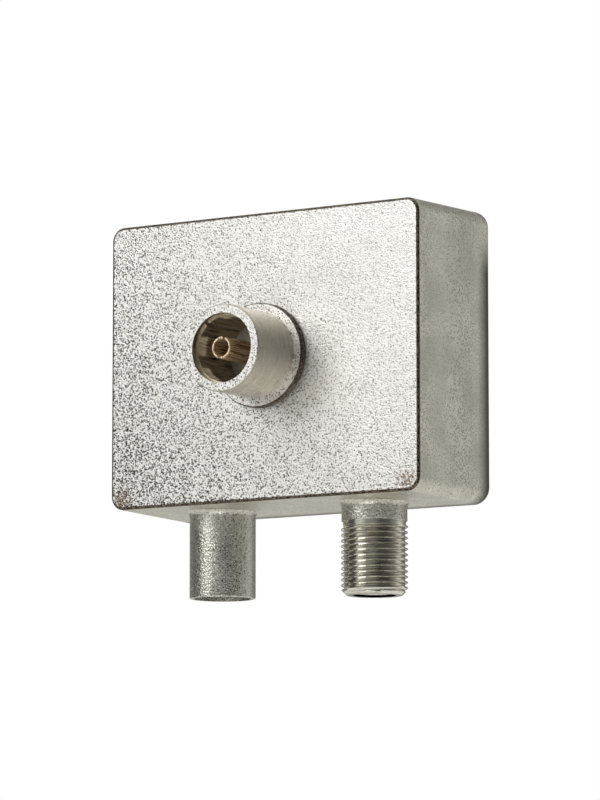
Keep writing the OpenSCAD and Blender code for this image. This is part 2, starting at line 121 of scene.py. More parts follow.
@dataclass(frozen=True)
class Metal:
    """A metal surface with fine marks, dark pits and uneven shine.

    Attributes:
        name: Name of the material.
        light: Colour of the clean metal.
        dark: Colour in the pits.
        marks: Which way the marks run.
        size: Size of one mark in mm.
        depth: Depth of the marks in mm.
        pits: Share of the surface that is pitted, from 0 to 1.
        roughness: Mean roughness.
        spread: How far the roughness swings round its mean.
        coarse: Size of the slow mottling in mm.
        soft: How gently a pit fades into clean metal.
        cloud: How far the slow mottling darkens the colour, from 0 to 1.
        cells: Whether the marks are the separate grains of a casting.
    """

    name: str
    light: str
    dark: str
    marks: Marks = Marks.GRAIN
    size: float = 0.2
    depth: float = 0.01
    pits: float = 0.2
    roughness: float = 0.35
    spread: float = 0.04
    coarse: float = 4.0
    soft: float = 0.05
    cloud: float = 0.0
    cells: bool = False

    def pattern(self, tree: bpy.types.NodeTree, at: Any, size: float, detail: float) -> Any:
        """Noise whose marks have the given size.

        Args:
            tree: The material's tree.
            at: Socket with the place on the object.
            size: Size of a mark in mm.
            detail: How many finer layers the noise has.

        Returns:
            Socket with a value round 0.5.
        """
        scaled = add(tree, "ShaderNodeMapping", {"Vector": at, "Scale": self.marks.value}).outputs[0]
        return add(
            tree,
            "ShaderNodeTexNoise",
            {"Vector": scaled, "Scale": 1 / (size * MM), "Detail": detail, "Roughness": 0.6},
        ).outputs["Fac"]

    def specks(self, tree: bpy.types.NodeTree, at: Any) -> Any:
        """Grains of a casting: cells of uneven weight, low in the middle of each.

        Args:
            tree: The material's tree.
            at: Socket with the place on the object.

        Returns:
            Socket with 0 in the middle of a grain, rising outwards.
        """
        least, more = 0.5, 0.8
        cells = add(tree, "ShaderNodeTexVoronoi", {"Vector": at, "Scale": 1 / (self.size * MM)}).outputs
        weight = add(tree, "ShaderNodeSeparateColor", {0: cells["Color"]}).outputs[0]
        reach = add(tree, MATH, {0: weight, 1: more, 2: least}, operation="MULTIPLY_ADD").outputs[0]
        return add(tree, MATH, {0: cells["Distance"], 1: reach}, operation="MULTIPLY").outputs[0]

    def pitted(self, tree: bpy.types.NodeTree, at: Any, grain: Any) -> Any:
        """Mask of the dark pits.

        Args:
            tree: The material's tree.
            at: Socket with the place on the object; not used here.
            grain: Socket with the fine pattern.

        Returns:
            Socket with 0 on clean metal and 1 in a pit.
        """
        # Noise gathers round 0.5, so the share of pits is read off this stretch of it.
        lowest, stretch = 0.36, 0.2
        edge = self.pits if self.cells else lowest + stretch * self.pits
        return add(tree, MAP_RANGE, {0: grain, 1: edge + self.soft, 2: edge - self.soft}).outputs[0]

    def stains_and_painted_shade(self, tree: bpy.types.NodeTree, at: Any, colour: Any) -> Any:
        """Adds stains and painted shade to the colour, of which plain metal has neither.

        Args:
            tree: The material's tree; not used here.
            at: Socket with the place on the object; not used here.
            colour: Socket with the colour so far.

        Returns:
            Socket with the colour.
        """
        return colour

    def build(self) -> bpy.types.Material:
        """Makes the material.

        Returns:
            The material, named for the finish.
        """
        material = bpy.data.materials.new(self.name)
        material.use_nodes = True
        tree = material.node_tree
        tree.nodes.clear()
        at = add(tree, "ShaderNodeTexCoord").outputs["Object"]
        grain = self.specks(tree, at) if self.cells else self.pattern(tree, at, self.size, 2.0)
        slow = add(
            tree, "ShaderNodeTexNoise", {"Vector": at, "Scale": 1 / (self.coarse * MM), "Detail": 3.0}
        ).outputs["Fac"]
        # The slow noise hardly leaves the first stretch, and the haze follows its middle.
        (low, high), (haze_low, haze_high) = (0.3, 0.7), (0.35, 0.65)
        pits = self.pitted(tree, at, grain)
        haze = add(
            tree, MAP_RANGE, {0: slow, 1: haze_low, 2: haze_high, 3: 0.0, 4: self.cloud}
        ).outputs[0]
        # On the front face and the edge finish the pits also carry painted shade.
        pits_and_painted_shade = add(tree, MATH, {0: pits, 1: haze}, operation="MAXIMUM").outputs[0]
        colour = add(
            tree,
            "ShaderNodeMix",
            {0: pits_and_painted_shade, 6: linear(self.light), 7: linear(self.dark)},
            data_type="RGBA",
        ).outputs[2]
        colour = self.stains_and_painted_shade(tree, at, colour)
        rough = add(
            tree,
            MAP_RANGE,
            {0: slow, 1: low, 2: high, 3: self.roughness - self.spread, 4: self.roughness + self.spread},
        ).outputs[0]
        bump = add(
            tree, "ShaderNodeBump", {"Height": grain, "Distance": self.depth * MM, "Strength": 1.0}
        ).outputs[0]
        shader = add(
            tree,
            "ShaderNodeBsdfPrincipled",
            {"Base Color": colour, "Metallic": 1.0, "Roughness": rough, "Normal": bump},
        )
        add(tree, "ShaderNodeOutputMaterial", {"Surface": shader.outputs[0]})
        return material


@dataclass(frozen=True)
class FrontFace(Metal):
    """The casting's front face, whose pits grow thicker to the lower left and along its rim as painted
    shade.

    Attributes:
        width: Width of the face in mm.
        height: Height of the face in mm.
        corner: Radius of its corners in mm.
        rim: Width of the rim darkened with painted shade, in mm.
        rim_painted_shade: Share of pits that the rim adds as painted shade.
        towards: Direction in which the pits grow denser.
        over: Distance on either side of the middle over which they do, in mm.
        denser: Share of pits, as painted shade, that this adds at its far end.
        stain: How far the stains reach from the lower corners in mm.
        stain_rise: Height of the stains' middle above the lower edge in mm.
        stain_grain: Size of the ragged pattern of the stains in mm.
        brown: Colour of the stains.
    """

    width: float = 52.5
    height: float = 41.5
    corner: float = 2.0
    rim: float = 0.6
    rim_painted_shade: float = 0.3
    towards: tuple[float, float, float] = (-0.8, 0.0, -0.6)
    over: float = 30.0
    denser: float = 0.28
    stain: float = 3.2
    stain_rise: float = 1.4
    stain_grain: float = 0.5
    brown: str = "6b4f30"

    def pitted(self, tree: bpy.types.NodeTree, at: Any, grain: Any) -> Any:
        """Mask of the pits, with their share raised as painted shade to the lower left and near the rim.

        Args:
            tree: The material's tree.
            at: Socket with the place on the object.
            grain: Socket with the fine pattern.

        Returns:
            Socket with 0 on clean metal and 1 in a pit.
        """
        inner = (self.width / 2 - self.corner) * MM, 0.0, (self.height / 2 - self.corner) * MM
        flat = add(tree, VECTOR_MATH, {0: at, 1: (1, 0, 1)}, operation="MULTIPLY").outputs[0]
        folded = add(tree, VECTOR_MATH, {0: flat}, operation="ABSOLUTE").outputs[0]
        past = add(tree, VECTOR_MATH, {0: folded, 1: inner}, operation="SUBTRACT").outputs[0]
        out = add(tree, VECTOR_MATH, {0: past, 1: (0, 0, 0)}, operation="MAXIMUM").outputs[0]
        round_off = add(tree, VECTOR_MATH, {0: out}, operation="LENGTH").outputs["Value"]
        parts = add(tree, "ShaderNodeSeparateXYZ", {0: past}).outputs
        larger = add(tree, MATH, {0: parts[0], 1: parts[2]}, operation="MAXIMUM").outputs[0]
        within = add(tree, MATH, {0: larger, 1: 0.0}, operation="MINIMUM").outputs[0]
        reach = add(tree, MATH, {0: round_off, 1: within}, operation="ADD").outputs[0]
        # Painted shade: more pits within the rim's width of the outline, for the dark reflection of the
        # rounded edge.
        rim = add(
            tree,
            MAP_RANGE,
            {0: reach, 1: (self.corner - self.rim) * MM, 2: self.corner * MM, 3: 0.0, 4: self.rim_painted_shade},
        ).outputs[0]
        # Painted shade: more pits towards the lower left, where the light falls off.
        across = add(tree, VECTOR_MATH, {0: at, 1: self.towards}, operation="DOT_PRODUCT").outputs["Value"]
        left = add(
            tree, MAP_RANGE, {0: across, 1: -self.over * MM, 2: self.over * MM, 3: 0.0, 4: self.denser}
        ).outputs[0]
        edge = add(tree, MATH, {0: rim, 1: left}, operation="ADD").outputs[0]
        raised = add(tree, MATH, {0: edge, 1: self.pits}, operation="ADD").outputs[0]
        depth = add(tree, MATH, {0: raised, 1: grain}, operation="SUBTRACT").outputs[0]
        return add(tree, MAP_RANGE, {0: depth, 1: -self.soft, 2: self.soft}).outputs[0]

    def stains_and_painted_shade(self, tree: bpy.types.NodeTree, at: Any, colour: Any) -> Any:
        """Adds brown stains in the two lower corners of the face.

        Args:
            tree: The material's tree.
            at: Socket with the place on the object.
            colour: Socket with the colour so far.

        Returns:
            Socket with the colour.
        """
        nearness, ragged_from, ragged_to, strength = 0.22, 0.58, 0.74, 0.8
        place = (self.width / 2 - self.corner) * MM, 0.0, (self.stain_rise - self.height / 2) * MM
        across = add(tree, VECTOR_MATH, {0: at, 1: (1, 0, 0)}, operation="MULTIPLY").outputs[0]
        either = add(tree, VECTOR_MATH, {0: across}, operation="ABSOLUTE").outputs[0]
        rise = add(tree, VECTOR_MATH, {0: at, 1: (0, 0, 1)}, operation="MULTIPLY").outputs[0]
        fold = add(tree, VECTOR_MATH, {0: either, 1: rise}, operation="ADD").outputs[0]
        away = add(tree, VECTOR_MATH, {0: fold, 1: place}, operation="DISTANCE").outputs["Value"]
        near = add(
            tree, MAP_RANGE, {0: away, 1: self.stain * MM, 2: 0.0, 3: 0.0, 4: nearness}
        ).outputs[0]
        ragged = self.pattern(tree, at, self.stain_grain, 3.0)
        both = add(tree, MATH, {0: near, 1: ragged}, operation="ADD").outputs[0]
        mask = add(
            tree, MAP_RANGE, {0: both, 1: ragged_from, 2: ragged_to, 3: 0.0, 4: strength}
        ).outputs[0]
        return add(
            tree, "ShaderNodeMix", {0: mask, 6: colour, 7: linear(self.brown)}, data_type="RGBA"
        ).outputs[2]


@dataclass(frozen=True)
class SideWall(Metal):
    """The casting's sides, with a band of painted shade along the rear edge.

    Attributes:
        rear: Depth at which the band of painted shade has its full strength, in mm.
        fade: Width over which it fades in.
        top: Height above which there is no band.
        top_fade: Height over which it fades out below that.
        rim: Depth of the flat rear rim, which gets no painted shade.
        painted_shade: Colour of the painted shade.
    """

    rear: float = 18.0
    fade: float = 2.4
    top: float = 17.0
    top_fade: float = 5.0
    rim: float = 19.4
    painted_shade: str = "5c5b52"

    def stains_and_painted_shade(self, tree: bpy.types.NodeTree, at: Any, colour: Any) -> Any:
        """Adds the band of painted shade along the rear edge.

        Args:
            tree: The material's tree.
            at: Socket with the place on the object.
            colour: Socket with the colour so far.

        Returns:
            Socket with the colour.
        """
        # Painted shade: the rear edge drawn darker, fading out towards the top, for the shading of its
        # rounding.
        parts = add(tree, "ShaderNodeSeparateXYZ", {0: at}).outputs
        band = add(
            tree, MAP_RANGE, {0: parts[1], 1: (self.rear - self.fade) * MM, 2: self.rear * MM}
        ).outputs[0]
        below = add(
            tree, MAP_RANGE, {0: parts[2], 1: self.top * MM, 2: (self.top - self.top_fade) * MM}
        ).outputs[0]
        clean, painted_shade = (self.rim - 0.01) * MM, (self.rim - 0.04) * MM
        before = add(tree, MAP_RANGE, {0: parts[1], 1: clean, 2: painted_shade}).outputs[0]
        side = add(tree, MATH, {0: band, 1: below}, operation="MULTIPLY").outputs[0]
        mask = add(tree, MATH, {0: side, 1: before}, operation="MULTIPLY").outputs[0]
        return add(
            tree, "ShaderNodeMix", {0: mask, 6: colour, 7: linear(self.painted_shade)}, data_type="RGBA"
        ).outputs[2]


@dataclass(frozen=True)
class Coat:
    """A surface that is no metal, such as moulded plastic, lacquer, laminate or ferrite.

    Attributes:
        name: Name of the material.
        light: Main colour.
        dark: Colour that the main one drifts to.
        size: Size of the fine texture in mm.
        depth: Depth of the fine texture in mm.
        roughness: Roughness.
        ior: Index of refraction.
        glow: How much light spreads inside it, from 0 to 1.
        glow_reach: How far that light spreads, in mm.
    """

    name: str
    light: str
    dark: str
    size: float = 0.3
    depth: float = 0.002
    roughness: float = 0.4
    ior: float = 1.5
    glow: float = 0.0
    glow_reach: float = 0.5

    def build(self) -> bpy.types.Material:
        """Makes the material.

        Returns:
            The material, named for the finish.
        """
        material = bpy.data.materials.new(self.name)
        material.use_nodes = True
        tree = material.node_tree
        tree.nodes.clear()
        at = add(tree, "ShaderNodeTexCoord").outputs["Object"]
        fine = add(
            tree, "ShaderNodeTexNoise", {"Vector": at, "Scale": 1 / (self.size * MM), "Detail": 3.0}
        ).outputs["Fac"]
        colour = add(
            tree,
            "ShaderNodeMix",
            {0: fine, 6: linear(self.light), 7: linear(self.dark)},
            data_type="RGBA",
        ).outputs[2]
        bump = add(
            tree, "ShaderNodeBump", {"Height": fine, "Distance": self.depth * MM, "Strength": 1.0}
        ).outputs[0]
        shader = add(
            tree,
            "ShaderNodeBsdfPrincipled",
            {
                "Base Color": colour,
                "Roughness": self.roughness,
                "IOR": self.ior,
                "Subsurface Weight": self.glow,
                "Subsurface Radius": (1.0, 1.0, 0.9),
                "Subsurface Scale": self.glow_reach * MM,
                "Normal": bump,
            },
        )
        add(tree, "ShaderNodeOutputMaterial", {"Surface": shader.outputs[0]})
        return material


# Nickel over a zinc casting whose mould was grainy: near white with fine dark pits. Its grains are
# drawn at 0.24 mm, about two pixels of the photograph, since finer ones wouldn't show.
# Its pits thicken into painted shade towards the lower left and along the rim.
FACE_NICKEL = FrontFace(
    "Cast nickel, front face", "eeedec", "332f2d",
    size=0.24, depth=0.045, pits=0.12, roughness=0.45, soft=0.07, cells=True,
)
# The same plating on the drafted sides, where the mould was smoother: an even grey with a fine
# grain, with painted shade along the rear edge.
SIDE_NICKEL = SideWall(
    "Cast nickel, sides", "e6e4d9", "6b695f",
    size=0.27, depth=0.03, pits=0.22, roughness=0.34, coarse=5.0, soft=0.2, cloud=0.25, cells=True,
)
# The front edge and the collar's side: a ragged dark line of painted shade.
SHADED_EDGE_NICKEL = Metal(
    "Cast nickel, front edge with painted shade", "8b8074", "1d1713",
    size=0.22, depth=0.02, pits=0.75, roughness=0.5, soft=0.08,
)
# The round ports come from the same grainy mould as the face; their plating is drawn darker as painted
# shade.
PORT_NICKEL = Metal(
    "Cast nickel, ports", "d6d4cc", "3f3c36",
    size=0.28, depth=0.05, pits=0.2, roughness=0.29, soft=0.14, cells=True,
)
# The barrel's side is turned after casting: fine rings that stretch each highlight. Real rings are
# finer, and these are 0.12 mm wide so that they show.
TURNED_NICKEL = Metal(
    "Turned nickel, barrel", "dcd7ca", "9c9484", Marks.TURNED_ON_Y, 0.12, 0.0015, 0.15, 0.26, soft=0.25
)
# The thread is cut before it is plated, and smooth: its flanks shine in narrow lines.
THREAD_NICKEL = Metal(
    "Cut nickel thread", "eceae2", "8a8373", Marks.TURNED_ON_Z, 0.1, 0.001, 0.15, 0.11, soft=0.12
)
# Spring sheet that has dulled to a warm bronze, drawn lighter as painted light for the dim socket.
SPRING_BRASS = Metal(
    "Dulled spring brass", "cfc5b0", "6a5f4f", Marks.DRAWN_ON_Y, 0.2, 0.002, 0.25, 0.5, soft=0.12
)
# Drawn and turned brass with streaks along it, drawn paler as painted light for the dim socket.
CONTACT_BRASS = Metal(
    "Drawn brass contact", "fdebd2", "9a6f46", Marks.DRAWN_ON_Y, 0.2, 0.004, 0.45, 0.55, soft=0.08
)
# Bright plated pin with faint turning rings.
PIN_NICKEL = Metal("Plated pin", "cfc8b6", "8d8673", Marks.TURNED_ON_Z, 0.1, 0.001, 0.1, 0.22)
# Tinned sheet: smooth, with the direction of rolling just visible.
COVER_TIN = Metal("Tinned sheet cover", "d2d1cb", "b6b4ac", Marks.DRAWN_ON_Z, 0.25, 0.001, 0.08, 0.38)
# Solder freezes bright and a little wrinkled.
SOLDER = Metal("Bright solder", "d3d5d8", "8d8f92", size=0.4, depth=0.01, pits=0.15, roughness=0.22)
# Natural polyethylene: milky, light spreads inside it.
INSULATOR = Coat("Natural polyethylene", "e2e2dc", "d3d2ca", 0.5, 0.003, 0.42, 1.51, 0.5)
# Green solder mask over glass cloth, whose weave lifts it slightly.
BOARD = Coat("Laminate with solder mask", "2f5f38", "234a2b", 0.6, 0.004, 0.35, 1.55)
# Sintered ferrite: matt, dark grey and faintly grainy.
FERRITE = Coat("Sintered ferrite", "3c3c40", "2a2a2d", 0.12, 0.006, 0.62, 1.8)
# Copper wire under clear enamel: a glossy orange brown.
ENAMEL = Coat("Enamelled copper wire", "a8592b", "7d3d1b", 0.2, 0.001, 0.2, 1.6)
# Thick dipped lacquers with a soft shine.
RESISTOR_LACQUER = Coat("Beige resistor lacquer", "c2ab80", "b09a70", 0.4, 0.004, 0.3)
DISC_LACQUER = Coat("Ochre disc lacquer", "c38a3e", "ab7631", 0.4, 0.006, 0.34)
BLUE_LACQUER = Coat("Blue disc lacquer", "44699c", "36568a", 0.4, 0.006, 0.34)


class Zone(IntEnum):
    """Zones of the casting that differ in finish, numbered as its material slots."""

    FACE = 0
    SIDE = 1
    # The front edge and the collar's side, drawn dark with painted shade.
    EDGE = 2
    PORT = 3
    TURNED = 4
    THREAD = 5


ZONE_FINISHES: dict[Zone, Metal] = {
    Zone.FACE: FACE_NICKEL,
    Zone.SIDE: SIDE_NICKEL,
    Zone.EDGE: SHADED_EDGE_NICKEL,
    Zone.PORT: PORT_NICKEL,
    Zone.TURNED: TURNED_NICKEL,
    Zone.THREAD: THREAD_NICKEL,
}


def direction(azimuth: float, elevation: float) -> Vector:
    """Unit vector from the object to a place round it.

    Args:
        azimuth: Degrees from -Y towards +X.
        elevation: Degrees above the horizon.

    Returns:
        The direction.
    """
    turn, rise = math.radians(azimuth), math.radians(elevation)
    return Vector(
        (math.sin(turn) * math.cos(rise), -math.cos(turn) * math.cos(rise), math.sin(rise))
    )


def as_object(name: str, mesh: bpy.types.Mesh) -> bpy.types.Object:
    """Puts a mesh in the scene as an object at the origin.

    Args:
        name: Name of the object.
        mesh: Its mesh.

    Returns:
        The new object.
    """
    made = bpy.data.objects.new(name, mesh)
    bpy.context.scene.collection.objects.link(made)
    return made


def evaluated_mesh(source: bpy.types.Object) -> bpy.types.Mesh:
    """Makes the result of an object's modifiers a plain mesh.

    Args:
        source: The object with its modifiers.

    Returns:
        A new mesh.
    """
    graph = bpy.context.evaluated_depsgraph_get()
    graph.update()
    return bpy.data.meshes.new_from_object(source.evaluated_get(graph), depsgraph=graph)


def smoothed(piece: bpy.types.Object, angle: float = 28.0) -> None:
    """Shades a piece smooth, with its real edges sharp and its flat faces flat.

    Args:
        piece: The piece.
        angle: Angle in degrees above which an edge is sharp.
    """
    piece.data.shade_smooth()
    piece.data.set_sharp_from_angle(angle=math.radians(angle))
    modifier = piece.modifiers.new("Normals", "WEIGHTED_NORMAL")
    modifier.mode, modifier.weight, modifier.keep_sharp = "FACE_AREA", 100, True
    mesh = evaluated_mesh(piece)
    piece.modifiers.clear()
    piece.data = mesh


def join_loose(form: bmesh.types.BMesh) -> None:
    """Joins points that lie at one place and takes out what has no area.

    Args:
        form: The mesh that is being edited.
    """
    bmesh.ops.remove_doubles(form, verts=form.verts, dist=MERGE)
    bmesh.ops.dissolve_degenerate(form, edges=form.edges, dist=MERGE)


def merged_copy(node: str, name: str) -> bpy.types.Object:
    """Copies a node of the frame and joins its loose triangles.

    Args:
        node: Name of the node.
        name: Name of the copy.

    Returns:
        The copy, with no material.
    """
    form = bmesh.new()
    form.from_mesh(frame["nodes"][node].data)
    join_loose(form)
    mesh = bpy.data.meshes.new(name)
    form.to_mesh(mesh)
    form.free()
    return as_object(name, mesh)


def geometry_tree(name: str, inputs: dict[str, str]) -> bpy.types.NodeTree:
    """Starts a Geometry Nodes tree that gives a mesh.

    Args:
        name: Name of the tree.
        inputs: Name of each input, with the last part of its socket's type.

    Returns:
        The tree, with its named inputs and its output.
    """
    tree = bpy.data.node_groups.new(name, "GeometryNodeTree")
    for label, kind in inputs.items():
        tree.interface.new_socket(label, in_out="INPUT", socket_type="NodeSocket" + kind)
    tree.interface.new_socket("Mesh", in_out="OUTPUT", socket_type="NodeSocketGeometry")
    return tree


def end_sweep(tree: bpy.types.NodeTree, path: Any, profile: Any, finish: Any) -> None:
    """Ends a tree with a profile swept along a path, made real and given its finish.

    Args:
        tree: The tree.
        path: Socket with the path's curve.
        profile: Socket with the profile's curve.
        finish: Socket with the material.
    """
    swept = add(
        tree, "GeometryNodeCurveToMesh", {"Curve": path, "Profile Curve": profile, "Fill Caps": True}
    ).outputs[0]
    real = add(tree, "GeometryNodeRealizeInstances", {0: swept}).outputs[0]
    dressed = add(tree, "GeometryNodeSetMaterial", {"Geometry": real, "Material": finish}).outputs[0]
    add(tree, "NodeGroupOutput", {0: dressed})


def grown(carrier: bpy.types.Object, tree: bpy.types.NodeTree, values: dict[str, Any]) -> bpy.types.Mesh:
    """Runs a tree on a carrier and makes the result a plain mesh.

    Args:
        carrier: The object that carries the tree.
        tree: The tree.
        values: Name of an input to its value.

    Returns:
        A new mesh.
    """
    modifier = carrier.modifiers.new(tree.name, "NODES")
    modifier.node_group = tree
    for item in tree.interface.items_tree:
        if item.in_out == "INPUT" and item.name in values:
            modifier[item.identifier] = values[item.name]
    mesh = evaluated_mesh(carrier)
    carrier.modifiers.clear()
    return mesh


def settle(piece: bpy.types.Object, node: str) -> None:
    """Says which body a piece rides on and which node it stands for.

    Args:
        piece: The finished piece.
        node: Node that the piece replaces.
    """
    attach(piece, "root")
    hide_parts(node)
    LOG.info("%s: %d faces, stands for %s", piece.name, len(piece.data.polygons), node)


@dataclass(frozen=True)
class Thread:
    """Groove of the threaded port, as the cutter that a Geometry Nodes tree sweeps along a helix.

    Attributes:
        x: Place of the port's axis.
        y: Depth of the port's axis.
        start: Height at which the groove begins.
        turns: Turns of the groove, of which the last runs past the barrel's end.
        pitch: Distance from one turn to the next.
        radius: Radius of the major diameter.
        depth: Depth of the groove.
        root: Width of the groove's bottom.
        flank: Angle of each flank from square to the axis, in degrees.
        spare: How far the cutter stands out of the barrel.
        fade: Turns over which the groove gets its full depth.
        steps: Steps in each turn.
        crest_slope: Upright part of a normal, below which a face is a crest or a root.
        flank_slopes: Upright part of a normal, between which a face is a flank.
    """

    x: float = 13.0
    y: float = 9.5
    start: float = -24.15
    turns: float = 14.0
    pitch: float = 0.79375
    radius: float = 4.7625
    depth: float = 0.43
    root: float = 0.14
    flank: float = 30.0
    spare: float = 0.05
    fade: float = 0.4
    steps: int = 72
    crest_slope: float = 0.35
    flank_slopes: tuple[float, float] = (0.79, 0.95)

    def tree(self) -> bpy.types.NodeTree:
        """Builds the tree that sweeps the groove's profile along the helix.

        Returns:
            The tree, with named inputs for the sizes.
        """
        tree = geometry_tree(
            "Helical groove",
            {
                "Turns": "Float",
                "Pitch": "Float",
                "Root radius": "Float",
                "Root width": "Float",
                "Depth": "Float",
                "Fade": "Float",
                "Steps": "Int",
                "Finish": "Material",
            },
        )
        given = add(tree, "NodeGroupInput").outputs
        count = add(
            tree, MATH, {0: given["Turns"], 1: given["Steps"], 2: 1.0}, operation="MULTIPLY_ADD"
        ).outputs[0]
        line = add(tree, "GeometryNodeMeshLine", {"Count": count}).outputs[0]
        path = add(tree, "GeometryNodeMeshToCurve", {0: line}).outputs[0]
        index = add(tree, "GeometryNodeInputIndex").outputs[0]
        turn = add(tree, MATH, {0: index, 1: given["Steps"]}, operation="DIVIDE").outputs[0]
        angle = add(tree, MATH, {0: turn, 1: -2 * math.pi}, operation="MULTIPLY").outputs[0]
        faded = add(tree, MATH, {0: turn, 1: given["Fade"]}, operation="DIVIDE").outputs[0]
        unfaded = add(tree, MATH, {0: 1.0, 1: faded}, operation="SUBTRACT").outputs[0]
        left = add(tree, MATH, {0: unfaded, 1: 0.0}, operation="MAXIMUM").outputs[0]
        share = add(tree, MATH, {0: left, 1: left}, operation="MULTIPLY").outputs[0]
        lift = add(tree, MATH, {0: share, 1: given["Depth"]}, operation="MULTIPLY").outputs[0]
        reach = add(tree, MATH, {0: given["Root radius"], 1: lift}, operation="ADD").outputs[0]
        cosine = add(tree, MATH, {0: angle}, operation="COSINE").outputs[0]
        sine = add(tree, MATH, {0: angle}, operation="SINE").outputs[0]
        fall = add(tree, MATH, {0: given["Pitch"], 1: -1.0}, operation="MULTIPLY").outputs[0]
        across, along, down = (
            add(tree, MATH, {0: size, 1: part}, operation="MULTIPLY").outputs[0]
            for size, part in ((reach, cosine), (reach, sine), (turn, fall))
        )
        place = add(tree, "ShaderNodeCombineXYZ", {0: across, 1: along, 2: down}).outputs[0]
        helix = add(tree, "GeometryNodeSetPosition", {"Geometry": path, "Position": place}).outputs[0]
        upright = add(tree, "GeometryNodeSetCurveNormal", {"Curve": helix}, mode="Z_UP").outputs[0]
        inner = add(tree, MATH, {0: given["Root width"], 1: 0.5}, operation="MULTIPLY").outputs[0]
        lean = math.tan(math.radians(self.flank))
        outer = add(
            tree, MATH, {0: given["Depth"], 1: lean, 2: inner}, operation="MULTIPLY_ADD"
        ).outputs[0]
        away, inner_below, outer_below = (
            add(tree, MATH, {0: size, 1: -1.0}, operation="MULTIPLY").outputs[0]
            for size in (given["Depth"], inner, outer)
        )
        corners = (0.0, inner), (0.0, inner_below), (away, outer_below), (away, outer)
        points = {
            f"Point {number}": add(tree, "ShaderNodeCombineXYZ", {0: out, 1: up}).outputs[0]
            for number, (out, up) in enumerate(corners, start=1)
        }
        profile = add(tree, "GeometryNodeCurvePrimitiveQuadrilateral", points, mode="POINTS").outputs[0]
        end_sweep(tree, upright, profile, given["Finish"])
        return tree

    def cutter(self, finish: bpy.types.Material) -> bpy.types.Object:
        """Makes the cutter as a plain mesh in its place.

        Args:
            finish: Material of the groove's walls.

        Returns:
            The cutter.
        """
        carrier = as_object("Groove cutter", bpy.data.meshes.new("Groove cutter"))
        values = {
            "Turns": self.turns,
            "Pitch": self.pitch * MM,
            "Root radius": (self.radius - self.depth) * MM,
            "Root width": self.root * MM,
            "Depth": (self.depth + self.spare) * MM,
            "Fade": self.fade,
            "Steps": self.steps,
            "Finish": finish,
        }
        mesh = grown(carrier, self.tree(), values)
        form = bmesh.new()
        form.from_mesh(mesh)
        form.transform(Matrix.Translation(Vector((self.x, self.y, self.start)) * MM))
        bmesh.ops.recalc_face_normals(form, faces=form.faces)
        form.to_mesh(mesh)
        form.free()
        carrier.data = mesh
        return carrier

    def true_normal(self, at: Vector, slope: float) -> Vector | None:
        """Normal of the thread's true form, to which the facets only come near.

        Args:
            at: Place on the thread in metres.
            slope: Upright part of the facet's normal.

        Returns:
            The normal on a crest, a root or a flank, and None on the thread's ends.
        """
        spoke = Vector((at.x - self.x * MM, at.y - self.y * MM, 0.0)).normalized()
        if abs(slope) < self.crest_slope:
            return spoke
        if self.flank_slopes[0] < abs(slope) < self.flank_slopes[1]:
            lean = math.radians(self.flank)
            return spoke * math.sin(lean) + Vector((0.0, 0.0, math.copysign(math.cos(lean), slope)))
        return None


